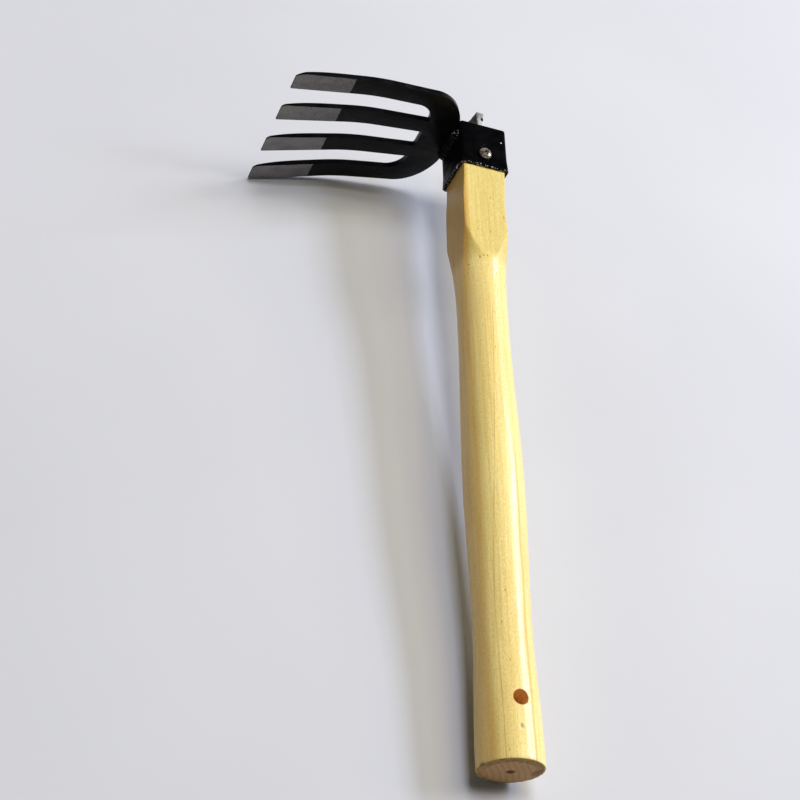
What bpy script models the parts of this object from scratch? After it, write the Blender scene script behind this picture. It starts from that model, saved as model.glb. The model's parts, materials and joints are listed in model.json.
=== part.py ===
"""A four-tine hand rake with a square steel socket and a turned wooden handle.

The rake is modelled in its own tool axes: Y runs along the handle towards the head, with the
socket's lower rim at Y = 0, the tines reach towards -X, and they are spread along Z. An empty
then lays the rake on its side on the ground, pitched so that the butt and the lowest tine
touch it. All sizes are in metres.
"""

import math

import bmesh
import bpy
from mathutils import Matrix, Vector

GAP = 0.0003                    # clearance between pieces that touch
CUT_PAST = 0.01                 # cutters reach at least this far past the surfaces they open
TINY = 1e-6                     # keeps a division clear of zero

# Socket: a square sleeve folded from plate, open at both ends
SOCKET_WIDTH = 0.032
SOCKET_HEIGHT = 0.0342
SOCKET_WALL = 0.0015
SOCKET_CORNER = 0.0022          # outer radius of the fold

# Handle: square tenon, planed flats, turned grip
HANDLE_LENGTH = 0.392           # lower rim of the socket to the butt face
TENON_WIDTH = 0.0284
NECK_SHIFT = -0.0007            # the neck sits towards the tines, off the line of tenon and butt
NECK_SHIFT_OVER = 0.03          # the shift comes in over this length below the socket
TENON_SINK = 0.0012             # the tenon's end lies this far below the socket's upper rim
FLAT_END = 0.073                # where three of the planed flats run out into the turned grip
FLAT_END_HALF = 0.01685         # distance of those flats from the axis there
FLAT_FLARE = 4                  # they stay near the tenon's width, then flare out to that
LONG_FLAT_AT = 0.108            # the flat on the tines' side is planed further down the grip
LONG_FLAT_HALF = 0.0151         # its distance from the axis there
LONG_FLAT_FLARE = 1.5
NECK_START = 0.045              # the turning starts to cut into the square's corners
NECK_CORNER = 0.0225            # turned radius there, clear of the corners
NECK_CURVE = 3.2                # how fast the turning then comes in to the waist
WAIST_AT, WAIST_RADIUS = 0.116, 0.0154
BELLY_AT, BELLY_RADIUS = 0.226, 0.0175
GRIP_AT, GRIP_RADIUS = 0.312, 0.01605
BUTT_AT, BUTT_RADIUS = 0.384, 0.0180
BUTT_CHAMFER = 0.0009           # along the handle
BUTT_FACE_RADIUS = 0.0142
HANG_HOLE_RADIUS = 0.00425
HANG_HOLE_FROM_BUTT = 0.034
CENTRE_MARK_RADIUS = 0.0023     # left by the lathe's centre
CENTRE_MARK_DEPTH = 0.0035
CENTRE_MARK_POINT = 0.0002      # radius at the bottom of the mark

# Fork head: one plate, with four tines bent down a little past the palm
PLATE = 0.0036
ROOT_Y = 0.0272                 # height of the palm's inner face where it meets the socket
PALM_SLOPE = math.radians(7.9)
TINE_SLOPE = math.radians(16.3)
BEND_START, BEND_END = -0.070, -0.092
TIP_X = -0.1363
TIP_THICKNESS = 0.0008
TAPER_LENGTH = 0.038            # the back of each tine is drawn down to its tip over this length
TIP_CORNER = 0.0018
SLOPE_STEP = 0.0005             # half of the length over which the plate's slope is taken
SHOULDER_X = -0.044             # the shoulder's round ends and the tines' straight edges start
SHOULDER_FLAT = 0.0085          # half width of the palm's straight back edge
OUTER_EDGE = (0.0422, 0.0502)   # each edge: distance from the middle at the shoulder and the tip
SIDE_SLOT_OUTER = (0.0302, 0.0370)
SIDE_SLOT_INNER = (0.0176, 0.0216)
MIDDLE_SLOT = (0.0069, 0.0085)
SLOT_END_X = -0.0386
SIDE_SLOT_ROUND = 0.0125        # length of the side slots' round end
MIDDLE_SLOT_CORNER = 0.0012

# Weld beads along the joint between the palm and the socket
INNER_BEAD_LEG = 0.0046
OUTER_BEAD_LEG = 0.0026
BEAD_HALF_LENGTH = 0.0150
BEAD_RIPPLES = 9
BEAD_RIPPLE_DEPTH = 0.16        # as a share of the leg
BEAD_END_SIZE = 0.45            # the bead starts and ends this thin, as a share of the leg
BEAD_END_GROWTH = 3             # and grows by this many legs over its length
BEAD_HOLLOW = 0.16              # how far its face is drawn in between the legs

# Wedge: driven into the tenon's end, its head left standing proud
WEDGE_HALF_WIDTH = 0.0130
WEDGE_HEAD = 0.0048
WEDGE_POINT = 0.0014
WEDGE_STANDS = 0.0162           # above the socket's upper rim
WEDGE_DEPTH = 0.0175            # below the tenon's end
WEDGE_HEAD_SLOPE = math.radians(12)

# Socket screw: pan head with a cross recess
SCREW_Y = 0.0095
SCREW_HEAD_RADIUS = 0.0041
SCREW_HEAD_HEIGHT = 0.0026
SCREW_RIM = 0.0008              # height of the head's straight rim, below its dome
SCREW_CROWN = 0.35              # radius of the dome's flat top, as a share of the head's
SCREW_SHANK_RADIUS = 0.0019
SCREW_LENGTH = 0.018
SCREW_POINT = 0.004
SCREW_POINT_RADIUS = 0.0004
RECESS_ARM = 0.0044
RECESS_WIDTH = 0.0011
RECESS_DEPTH = 0.0015
RECESS_TURN = math.radians(25)

RING_POINTS = 48                # round the handle
STATIONS = 8                    # handle rings between one named diameter and the next


def clear_scene():
    for thing in list(bpy.data.objects):
        bpy.data.objects.remove(thing, do_unlink=True)


def make_material(name, colour, roughness, metallic):
    material = bpy.data.materials.new(name)
    material.use_nodes = True
    shader = material.node_tree.nodes["Principled BSDF"]
    shader.inputs["Base Color"].default_value = (*colour, 1.0)
    shader.inputs["Roughness"].default_value = roughness
    shader.inputs["Metallic"].default_value = metallic
    return material


def add_object(name, bm, parent, material=None):
    """Turn a bmesh into an object in the tool's axes."""
    bmesh.ops.recalc_face_normals(bm, faces=bm.faces)
    mesh = bpy.data.meshes.new(name)
    bm.to_mesh(mesh)
    bm.free()
    thing = bpy.data.objects.new(name, mesh)
    bpy.context.scene.collection.objects.link(thing)
    thing.parent = parent
    if material:
        mesh.materials.append(material)
    return thing


def add_cutter(name, bm, parent):
    cutter = add_object(name, bm, parent)
    cutter.hide_render = True
    cutter.display_type = "WIRE"
    return cutter


def cut(thing, cutter):
    modifier = thing.modifiers.new(cutter.name, "BOOLEAN")
    modifier.operation = "DIFFERENCE"
    modifier.solver = "EXACT"
    modifier.object = cutter


def shade_round(thing, angle=35):
    thing.data.shade_smooth()
    thing.data.set_sharp_from_angle(angle=math.radians(angle))


def blend(start, end, t):
    return start + (end - start) * t


def ease(t):
    """Smooth step, level at both ends."""
    return t * t * (3 - 2 * t)


def loft(rings):
    """Close a stack of rings of equal length into one body."""
    bm = bmesh.new()
    rows = [[bm.verts.new(point) for point in ring] for ring in rings]
    for lower, upper in zip(rows, rows[1:]):
        for i in range(len(lower)):
            j = (i + 1) % len(lower)
            bm.faces.new((lower[i], lower[j], upper[j], upper[i]))
    bm.faces.new(rows[0])
    bm.faces.new(rows[-1])
    return bm


def rod(radius, start, end, sides=32):
    """Cylinder between two points."""
    bm = bmesh.new()
    axis = Vector(end) - Vector(start)
    bmesh.ops.create_cone(bm, segments=sides, radius1=radius, radius2=radius, depth=axis.length,
                          cap_ends=True)
    turn = axis.to_track_quat("Z", "Y").to_matrix().to_4x4()
    middle = (Vector(start) + Vector(end)) / 2
    bmesh.ops.transform(bm, matrix=Matrix.Translation(middle) @ turn, verts=bm.verts)
    return bm


# Handle -----------------------------------------------------------------------------------

def turned_radius(distance):
    """Radius of the turned body at a distance below the socket's rim."""
    if distance < WAIST_AT:
        t = max(0.0, (distance - NECK_START) / (WAIST_AT - NECK_START))
        return WAIST_RADIUS + (NECK_CORNER - WAIST_RADIUS) * (1 - t) ** NECK_CURVE
    stops = [(WAIST_AT, WAIST_RADIUS), (BELLY_AT, BELLY_RADIUS), (GRIP_AT, GRIP_RADIUS),
             (BUTT_AT, BUTT_RADIUS)]
    for (start, r0), (end, r1) in zip(stops, stops[1:]):
        if distance <= end:
            return blend(r0, r1, ease((distance - start) / (end - start)))
    return BUTT_RADIUS


def flat_offset(distance, end, end_offset, flare):
    """Distance of a planed flat from the axis; past its end it clears the turned radius."""
    return blend(TENON_WIDTH / 2, end_offset, (max(0.0, distance) / end) ** flare)


def ease_between(start, end, value):
    return ease(min(1.0, max(0.0, (value - start) / (end - start))))


def handle_ring(distance):
    """Section of the handle: a circle cut off by the four flats."""
    radius = turned_radius(distance)
    flat = flat_offset(distance, FLAT_END, FLAT_END_HALF, FLAT_FLARE)
    long_flat = flat_offset(distance, LONG_FLAT_AT, LONG_FLAT_HALF, LONG_FLAT_FLARE)
    shift = NECK_SHIFT * ease_between(0.0, NECK_SHIFT_OVER, distance)
    shift *= ease_between(BELLY_AT, WAIST_AT, distance)
    ring = []
    for i in range(RING_POINTS):
        angle = 2 * math.pi * i / RING_POINTS
        x, z = math.cos(angle), math.sin(angle)
        reach = min(radius, flat / max(x, TINY), long_flat / max(-x, TINY), flat / max(abs(z), TINY))
        ring.append((shift + reach * x, -distance, reach * z))
    return ring


def handle_stations():
    stops = [NECK_START, FLAT_END, WAIST_AT, BELLY_AT, GRIP_AT, BUTT_AT]
    stations = [TENON_SINK - SOCKET_HEIGHT, 0.0]
    for start, end in zip(stops, stops[1:]):
        steps = STATIONS if end == FLAT_END else STATIONS - 2
        stations += [blend(start, end, i / steps) for i in range(steps)]
    return stations + [BUTT_AT, HANDLE_LENGTH - BUTT_CHAMFER]


def circle(radius, y):
    angles = [2 * math.pi * i / RING_POINTS for i in range(RING_POINTS)]
    return [(radius * math.cos(a), y, radius * math.sin(a)) for a in angles]


def make_handle(parent, material):
    rings = [handle_ring(distance) for distance in handle_stations()]
    rings.append(circle(BUTT_FACE_RADIUS, -HANDLE_LENGTH))
    handle = add_object("handle", loft(rings), parent, material)

    hole_y = HANG_HOLE_FROM_BUTT - HANDLE_LENGTH
    hole_reach = BUTT_RADIUS + CUT_PAST
    hole = rod(HANG_HOLE_RADIUS, (0, hole_y, -hole_reach), (0, hole_y, hole_reach))
    cut(handle, add_cutter("hanging_hole_cutter", hole, parent))

    mark = loft([circle(2 * CENTRE_MARK_RADIUS - CENTRE_MARK_POINT, -HANDLE_LENGTH - CENTRE_MARK_DEPTH),
                 circle(CENTRE_MARK_POINT, -HANDLE_LENGTH + CENTRE_MARK_DEPTH)])
    cut(handle, add_cutter("centre_mark_cutter", mark, parent))

    cut(handle, add_cutter("saw_cut_cutter", wedge_shape(GAP, TENON_WIDTH), parent))

    pilot_end = SOCKET_WIDTH / 2 - SCREW_LENGTH - 2 * GAP
    pilot_start = SOCKET_WIDTH / 2 + CUT_PAST
    pilot = rod(SCREW_SHANK_RADIUS + GAP, (0, SCREW_Y, pilot_end), (0, SCREW_Y, pilot_start))
    cut(handle, add_cutter("pilot_cutter", pilot, parent))
    shade_round(handle)


# Wedge ------------------------------------------------------------------------------------

def wedge_shape(margin, half_width):
    """Tapered plate across the tenon, thickest at its head; with a margin, the saw cut for it."""
    tenon_end = SOCKET_HEIGHT - TENON_SINK
    point_y = tenon_end - WEDGE_DEPTH - margin
    head_y = SOCKET_HEIGHT + WEDGE_STANDS + margin
    rise = half_width * math.tan(WEDGE_HEAD_SLOPE)
    rings = []
    for y, thickness, slope in ((point_y, WEDGE_POINT, 0.0), (head_y, WEDGE_HEAD, rise)):
        half = thickness / 2 + margin
        rings.append([(-half, y + slope, -half_width), (half, y + slope, -half_width),
                      (half, y - slope, half_width), (-half, y - slope, half_width)])
    return loft(rings)


def make_wedge(parent, material):
    add_object("wedge", wedge_shape(0.0, WEDGE_HALF_WIDTH), parent, material)


# Socket -----------------------------------------------------------------------------------

def rounded_square(half, radius, y, steps=5):
    ring = []
    for corner in range(4):
        start = corner * math.pi / 2
        cx = (half - radius) * (1 if corner in (0, 3) else -1)
        cz = (half - radius) * (1 if corner in (0, 1) else -1)
        for i in range(steps + 1):
            angle = start + math.pi / 2 * i / steps
            ring.append((cx + radius * math.cos(angle), y, cz + radius * math.sin(angle)))
    return ring


def make_socket(parent, material):
    half = SOCKET_WIDTH / 2
    sleeve = loft([rounded_square(half, SOCKET_CORNER, 0.0),
                   rounded_square(half, SOCKET_CORNER, SOCKET_HEIGHT)])
    socket = add_object("socket", sleeve, parent, material)
    inside = loft([rounded_square(half - SOCKET_WALL, GAP, -CUT_PAST),
                   rounded_square(half - SOCKET_WALL, GAP, SOCKET_HEIGHT + CUT_PAST)])
    cut(socket, add_cutter("socket_inside_cutter", inside, parent))
    hole = rod(SCREW_SHANK_RADIUS + GAP, (0, SCREW_Y, 0.0), (0, SCREW_Y, half + CUT_PAST))
    cut(socket, add_cutter("screw_hole_cutter", hole, parent))
    shade_round(socket)


# Fork head --------------------------------------------------------------------------------

def edge_at(edge, x):
    """Distance of a tine's edge from the middle, spreading evenly towards the tip."""
    near, far = edge
    return blend(near, far, (x - SHOULDER_X) / (TIP_X - SHOULDER_X))


def quarter_round(centre, radii, start, steps=8):
    """Points on a quarter of an ellipse in the plan, from the given angle."""
    angles = [start + math.pi / 2 * i / steps for i in range(steps + 1)]
    return [(centre[0] + radii[0] * math.cos(a), centre[1] + radii[1] * math.sin(a)) for a in angles]


def tine_tip(outer, inner):
    """Square tip with its two corners taken off, from the outer edge to the inner."""
    back = TIP_X + TIP_CORNER
    z_out, z_in = edge_at(outer, TIP_X), edge_at(inner, TIP_X)
    return [(back, edge_at(outer, back)), (TIP_X, z_out - TIP_CORNER),
            (TIP_X, z_in + TIP_CORNER), (back, edge_at(inner, back))]


def half_outline():
    """Plan of the fork for Z > 0, from the palm's back edge to the middle slot."""
    back_x = -SOCKET_WIDTH / 2 - 2 * GAP
    shoulder = quarter_round((SHOULDER_X, SHOULDER_FLAT),
                             (back_x - SHOULDER_X, OUTER_EDGE[0] - SHOULDER_FLAT), 0.0, 12)
    round_x = SLOT_END_X - SIDE_SLOT_ROUND
    inner_z = edge_at(SIDE_SLOT_INNER, SLOT_END_X)
    side_slot = quarter_round((round_x, inner_z),
                              (SIDE_SLOT_ROUND, edge_at(SIDE_SLOT_OUTER, round_x) - inner_z), 0.0)
    middle_z = edge_at(MIDDLE_SLOT, SLOT_END_X) - MIDDLE_SLOT_CORNER
    middle_slot = quarter_round((SLOT_END_X - MIDDLE_SLOT_CORNER, middle_z),
                                (MIDDLE_SLOT_CORNER, MIDDLE_SLOT_CORNER), 0.0, 3)
    points = shoulder + tine_tip(OUTER_EDGE, SIDE_SLOT_OUTER) + side_slot[::-1]
    return points + tine_tip(SIDE_SLOT_INNER, MIDDLE_SLOT) + middle_slot[::-1]


def face_height(x):
    """Height of the fork's inner face: palm line, bend, then tine line."""
    root_x = -SOCKET_WIDTH / 2
    palm, tine = math.tan(PALM_SLOPE), math.tan(TINE_SLOPE)
    y = ROOT_Y + (x - root_x) * palm
    past = min(max(BEND_START - x, 0.0), BEND_START - BEND_END)
    y -= (tine - palm) * past ** 2 / (2 * (BEND_START - BEND_END))
    return y - (tine - palm) * max(BEND_END - x, 0.0)


def thickness_at(x):
    left = min(1.0, (x - TIP_X) / TAPER_LENGTH)
    return blend(PLATE, TIP_THICKNESS, (1 - left) ** 3)


def fork_plan():
    """Flat plan of the fork, cut across wherever the plate bends or tapers."""
    half = half_outline()
    points = half + [(x, -z) for x, z in reversed(half)]
    bm = bmesh.new()
    bm.faces.new([bm.verts.new((x, 0.0, z)) for x, z in points])
    cuts = [blend(BEND_START, BEND_END, i / 6) for i in range(7)]
    cuts += [TIP_X + TAPER_LENGTH * i / 8 for i in range(1, 9)]
    for x in cuts:
        everything = bm.verts[:] + bm.edges[:] + bm.faces[:]
        bmesh.ops.bisect_plane(bm, geom=everything, plane_co=(x, 0, 0), plane_no=(1, 0, 0))
    bmesh.ops.triangulate(bm, faces=bm.faces)
    return bm


def make_fork_head(parent, material):
    bm = fork_plan()
    flat = bm.faces[:]
    grown = bmesh.ops.extrude_face_region(bm, geom=flat, use_keep_orig=True)["geom"]
    back = {item for item in grown if isinstance(item, bmesh.types.BMVert)}
    for vert in bm.verts:
        x = vert.co.x
        slope = (face_height(x + SLOPE_STEP) - face_height(x - SLOPE_STEP)) / (2 * SLOPE_STEP)
        normal = Vector((-slope, 1.0, 0.0)).normalized()
        vert.co.y = face_height(x)
        if vert in back:
            vert.co += normal * thickness_at(x)
    fork = add_object("fork_head", bm, parent, material)
    shade_round(fork, 30)


# Weld beads -------------------------------------------------------------------------------

def weld_bead(name, parent, material, leg, corner_y, up):
    """Rippled fillet in the corner between the socket's side and one face of the palm."""
    corner_x = -SOCKET_WIDTH / 2 - GAP
    tilt = math.tan(PALM_SLOPE)
    steps = BEAD_RIPPLES * 4
    rings = []
    for i in range(steps + 1):
        z = blend(-BEAD_HALF_LENGTH, BEAD_HALF_LENGTH, i / steps)
        ripple = abs(math.sin(math.pi * BEAD_RIPPLES * i / steps))
        end = min(1.0, BEAD_END_SIZE + BEAD_END_GROWTH * min(i, steps - i) / steps)
        size = leg * end * (1 - BEAD_RIPPLE_DEPTH * (1 - ripple))
        ring = [(corner_x, corner_y, z)]
        for j in range(7):
            angle = math.pi / 2 * j / 6
            bulge = 1 - BEAD_HOLLOW * math.sin(2 * angle)
            x = -size * bulge * math.cos(angle)
            ring.append((corner_x + x, corner_y + up * size * bulge * math.sin(angle) + x * tilt, z))
        rings.append(ring)
    bead = add_object(name, loft(rings), parent, material)
    shade_round(bead, 50)


def make_weld_beads(parent, material):
    back_y = ROOT_Y + PLATE / math.cos(PALM_SLOPE)
    weld_bead("weld_bead_inner", parent, material, INNER_BEAD_LEG, ROOT_Y - 2 * GAP, -1)
    weld_bead("weld_bead_outer", parent, material, OUTER_BEAD_LEG, back_y + 2 * GAP, 1)


# Socket screw -----------------------------------------------------------------------------

def screw_profile():
    """Half section from the point to the top of the head: (radius, distance along the axis)."""
    head = [(SCREW_HEAD_RADIUS, 0.0), (SCREW_HEAD_RADIUS, SCREW_RIM)]
    dome = SCREW_HEAD_HEIGHT - SCREW_RIM
    steps = 6
    for i in range(1, steps + 1):
        angle = math.pi / 2 * i / steps
        radius = SCREW_HEAD_RADIUS * blend(SCREW_CROWN, 1.0, math.cos(angle))
        head.append((radius, SCREW_RIM + dome * math.sin(angle)))
    shank = [(SCREW_POINT_RADIUS, -SCREW_LENGTH), (SCREW_SHANK_RADIUS, SCREW_POINT - SCREW_LENGTH),
             (SCREW_SHANK_RADIUS, 0.0)]
    return shank + head


def make_screw(parent, material):
    seat = SOCKET_WIDTH / 2 + GAP
    rings = []
    for radius, along in screw_profile():
        angles = [2 * math.pi * i / 24 for i in range(24)]
        rings.append([(radius * math.cos(a), SCREW_Y + radius * math.sin(a), seat + along)
                      for a in angles])
    screw = add_object("socket_screw", loft(rings), parent, material)
    top = seat + SCREW_HEAD_HEIGHT
    for i, (wide, tall) in enumerate(((RECESS_ARM, RECESS_WIDTH), (RECESS_WIDTH, RECESS_ARM))):
        bm = bmesh.new()
        bmesh.ops.create_cube(bm, size=1.0)
        bmesh.ops.scale(bm, vec=(wide, tall, 2 * RECESS_DEPTH), verts=bm.verts)
        turned = Matrix.Translation((0, SCREW_Y, top)) @ Matrix.Rotation(RECESS_TURN, 4, "Z")
        bmesh.ops.transform(bm, matrix=turned, verts=bm.verts)
        cut(screw, add_cutter("recess_cutter_%d" % i, bm, parent))
    shade_round(screw)


# Assembly ---------------------------------------------------------------------------------

def lay_down(rake):
    """Pitch the rake so that butt and lowest tine touch the ground, and centre its footprint."""
    tine_y = face_height(TIP_X)
    reach = tine_y + HANDLE_LENGTH - BUTT_CHAMFER
    pitch = math.atan((edge_at(OUTER_EDGE, TIP_X + TIP_CORNER) - BUTT_RADIUS) / reach)
    rake.rotation_euler = (pitch, 0.0, 0.0)
    bpy.context.view_layer.update()
    corners = []
    for thing in rake.children:
        if thing.display_type != "WIRE":
            corners += [thing.matrix_world @ vert.co for vert in thing.data.vertices]
    low = Vector([min(corner[i] for corner in corners) for i in range(3)])
    high = Vector([max(corner[i] for corner in corners) for i in range(3)])
    rake.location = (-(low.x + high.x) / 2, -(low.y + high.y) / 2, -low.z)


def main():
    clear_scene()
    rake = bpy.data.objects.new("rake", None)
    bpy.context.scene.collection.objects.link(rake)
    black = (0.012, 0.012, 0.013)
    make_fork_head(rake, make_material("fork_paint", black, 0.35, 0.0))
    make_socket(rake, make_material("socket_paint", black, 0.30, 0.0))
    make_weld_beads(rake, make_material("weld_paint", black, 0.32, 0.0))
    make_handle(rake, make_material("varnished_wood", (0.72, 0.56, 0.28), 0.35, 0.0))
    make_wedge(rake, make_material("wedge_steel", (0.42, 0.41, 0.39), 0.45, 1.0))
    make_screw(rake, make_material("screw_steel", (0.62, 0.60, 0.57), 0.25, 1.0))
    lay_down(rake)


main()
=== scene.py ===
"""Looks of the hand rake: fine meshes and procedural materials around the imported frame.

Every piece is built in the tool's own axes: Y runs along the handle towards the head with the
socket's lower rim at Y = 0, the tines reach towards -X and are spread along Z. The tool matrix,
read from the record's mounts, puts them in the row frame. Sizes are in metres.
"""

import json
import math

import bmesh
import bpy
from mathutils import Matrix, Vector, noise


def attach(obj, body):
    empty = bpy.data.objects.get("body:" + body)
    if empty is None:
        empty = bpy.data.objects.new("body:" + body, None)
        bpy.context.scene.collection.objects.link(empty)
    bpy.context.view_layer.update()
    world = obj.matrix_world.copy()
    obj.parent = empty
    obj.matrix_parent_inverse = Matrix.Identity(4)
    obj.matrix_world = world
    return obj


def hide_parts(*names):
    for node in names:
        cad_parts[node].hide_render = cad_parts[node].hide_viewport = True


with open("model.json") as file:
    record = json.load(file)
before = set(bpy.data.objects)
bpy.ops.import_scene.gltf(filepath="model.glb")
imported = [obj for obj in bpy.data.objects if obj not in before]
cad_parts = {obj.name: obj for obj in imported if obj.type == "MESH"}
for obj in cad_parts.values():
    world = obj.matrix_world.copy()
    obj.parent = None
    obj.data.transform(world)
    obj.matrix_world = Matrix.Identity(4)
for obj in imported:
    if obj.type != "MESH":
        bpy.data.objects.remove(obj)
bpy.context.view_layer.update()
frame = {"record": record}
scene = bpy.context.scene

# Sizes of the real pieces, as in the CAD source
GAP = 0.0003                    # clearance between neighbouring pieces
SOCKET_WIDTH = 0.032
SOCKET_HEIGHT = 0.0342
SOCKET_WALL = 0.0015
SOCKET_MOUNT_Y = 0.020          # height of the mount on the socket's back wall
HANDLE_LENGTH = 0.392           # lower rim of the socket to the butt face
TENON_WIDTH = 0.0284
TENON_SINK = 0.0012             # the tenon's end lies this far below the socket's upper rim
BUTT_CHAMFER = 0.0009           # along the handle
BUTT_FACE_RADIUS = 0.0142
BUTT_RADIUS = 0.0180
CHAMFER_Y = BUTT_CHAMFER - HANDLE_LENGTH
HOLE_RADIUS = 0.00425           # hanging hole
HOLE_Y = 0.034 - HANDLE_LENGTH
SCREW_Y = 0.0095
WEDGE_STANDS = 0.0162           # above the socket's upper rim
WEDGE_TOP = SOCKET_HEIGHT + WEDGE_STANDS


def tool_matrix():
    """Matrix from the tool's axes to the row frame, from two of the record's mounts."""
    mounts = {mount["name"]: mount for mount in frame["record"]["mounts"]}
    x_axis = Vector(mounts["socket_back"]["axis"])
    y_axis = -Vector(mounts["butt_face"]["axis"])
    z_axis = x_axis.cross(y_axis)
    back = Vector(mounts["socket_back"]["pos_m"])
    origin = back - x_axis * SOCKET_WIDTH / 2 - y_axis * SOCKET_MOUNT_Y
    turn = Matrix((x_axis, y_axis, z_axis)).transposed().to_4x4()
    return Matrix.Translation(origin) @ turn


TOOL = tool_matrix()


def blend(start, end, t):
    """Straight run from one value to another for t from 0 to 1."""
    return start + (end - start) * t


def ease(t):
    """Smooth step from 0 to 1, level at both ends."""
    t = min(1.0, max(0.0, t))
    return t * t * (3 - 2 * t)


def soft_min(a, b, width):
    """Smaller of two lengths, rounded over where they cross."""
    gap = max(width - abs(a - b), 0.0) / width
    return min(a, b) - gap * gap * width / 4


def wobble(x, y, z, scale):
    """Smooth noise of about -1 to 1 at a point, with features of the given size."""
    return noise.noise(Vector((x, y, z)) / scale)


# Node materials ---------------------------------------------------------------------------

class Paint:
    """One node material: its shader and short ways to add the nodes that feed it."""

    def __init__(self, name, **values):
        self.material = bpy.data.materials.new(name)
        self.material.use_nodes = True
        self.tree = self.material.node_tree
        self.shader = self.tree.nodes["Principled BSDF"]
        self.place = self.add("TexCoord").outputs["Object"]
        for key, value in values.items():
            self.shader.inputs[key.replace("_", " ")].default_value = value

    def add(self, kind, inputs=(), **settings):
        node = self.tree.nodes.new("ShaderNode" + kind)
        for name, value in settings.items():
            setattr(node, name, value)
        for key, value in dict(inputs).items():
            self.feed(node.inputs[key], value)
        return node

    def feed(self, socket, value):
        if isinstance(value, bpy.types.NodeSocket):
            self.tree.links.new(value, socket)
        else:
            socket.default_value = value

    def set(self, **values):
        for name, value in values.items():
            self.feed(self.shader.inputs[name.replace("_", " ")], value)

    def math(self, operation, a, b=0.0, c=0.0):
        inputs = {0: a, 1: b, 2: c}
        return self.add("Math", inputs, operation=operation).outputs[0]

    def axes(self):
        return self.add("SeparateXYZ", {0: self.place}).outputs

    def distance(self, a, b):
        """Length of the diagonal of two values."""
        squares = self.math("ADD", self.math("MULTIPLY", a, a), self.math("MULTIPLY", b, b))
        return self.math("SQRT", squares)

    def scaled(self, scale, offset=(0, 0, 0)):
        inputs = {"Vector": self.place, "Location": offset, "Scale": scale}
        return self.add("Mapping", inputs).outputs[0]

    def noise(self, scale, detail=2.0, rough=0.5, offset=(0, 0, 0)):
        """Grey noise with one scale for each axis, in features per metre."""
        where = self.scaled(scale, offset)
        inputs = {"Vector": where, "Scale": 1.0, "Detail": detail, "Roughness": rough}
        return self.add("TexNoise", inputs).outputs["Fac"]

    def cells(self, scale):
        """Distance to the nearest of many scattered points, one scale for each axis."""
        return self.add("TexVoronoi", {"Vector": self.scaled(scale), "Scale": 1.0}).outputs["Distance"]

    def span(self, value, low, high, start=0.0, end=1.0):
        """Clamped smooth map of a value's range onto another."""
        inputs = {0: value, 1: low, 2: high, 3: start, 4: end}
        node = self.add("MapRange", inputs, interpolation_type="SMOOTHSTEP", clamp=True)
        return node.outputs[0]

    def ramp(self, value, *stops):
        """Colours at given positions along a value, blended in between."""
        node = self.add("ValToRGB", {0: value})
        while len(node.color_ramp.elements) < len(stops):
            node.color_ramp.elements.new(0.5)
        for element, (position, colour) in zip(node.color_ramp.elements, stops):
            element.position = position
            element.color = (*colour, 1.0)
        return node.outputs[0]

    def mix(self, factor, a, b, how="MIX"):
        """Colour a where the factor is 0, and b, or the two combined, where it is 1."""
        node = self.add("Mix", {0: factor}, data_type="RGBA", blend_type=how)
        for socket, value in ((node.inputs[6], a), (node.inputs[7], b)):
            self.feed(socket, (*value, 1.0) if isinstance(value, tuple) else value)
        return node.outputs[2]

    def source(self, name):
        """Output that already feeds one of the shader's inputs."""
        return self.shader.inputs[name].links[0].from_socket

    def spot(self, centre, radii, soft=0.5):
        """Mask of 1 inside an ellipsoid and 0 outside, with a soft edge."""
        away = self.add("VectorMath", {0: self.place, 1: centre}, operation="SUBTRACT").outputs[0]
        size = self.add("VectorMath", {0: away, 1: radii}, operation="DIVIDE").outputs[0]
        far = self.add("VectorMath", {0: size}, operation="LENGTH").outputs["Value"]
        return self.span(far, 1.0 - soft, 1.0, 1.0, 0.0)

    def bump(self, *layers):
        """Stack of bumps: (height value, depth in metres)."""
        normal = None
        for height, depth in layers:
            inputs = {"Height": height, "Distance": depth, "Strength": 1.0}
            if normal:
                inputs["Normal"] = normal
            normal = self.add("Bump", inputs).outputs[0]
        self.feed(self.shader.inputs["Normal"], normal)


# Dark marks in the wood's surface: (centre, radii)
WOOD_MARKS = (((-0.0077, -0.0742, 0.0152), (0.0010, 0.0013, 0.002)),
              ((-0.0055, -0.0732, 0.0160), (0.0007, 0.0006, 0.002)),
              ((-0.0032, -0.0730, 0.0163), (0.0010, 0.0010, 0.002)),
              ((0.0008, -0.0520, 0.0152), (0.0006, 0.0018, 0.002)),
              ((0.0126, -0.0480, 0.0134), (0.0010, 0.0016, 0.002)),
              ((-0.0132, -0.0787, 0.0106), (0.0007, 0.0007, 0.002)),
              ((0.0098, -0.0900, 0.0119), (0.0008, 0.0011, 0.002)),
              ((-0.0010, -0.3740, 0.0179), (0.0016, 0.0020, 0.002)))
RING_WIDTH = 0.0034             # of one year's growth
PITH_X, PITH_Z = 0.082, 0.046   # the tree's middle lies this far out, towards -X and -Z
PITH_DRIFT = 0.018              # how far the grain runs out for each metre of handle
FLAT_FADES = (-0.079, -0.066)   # Y where the turned neck gives way to the planed flats
LATHE_MARK_RADIUS = 0.0026

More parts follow.
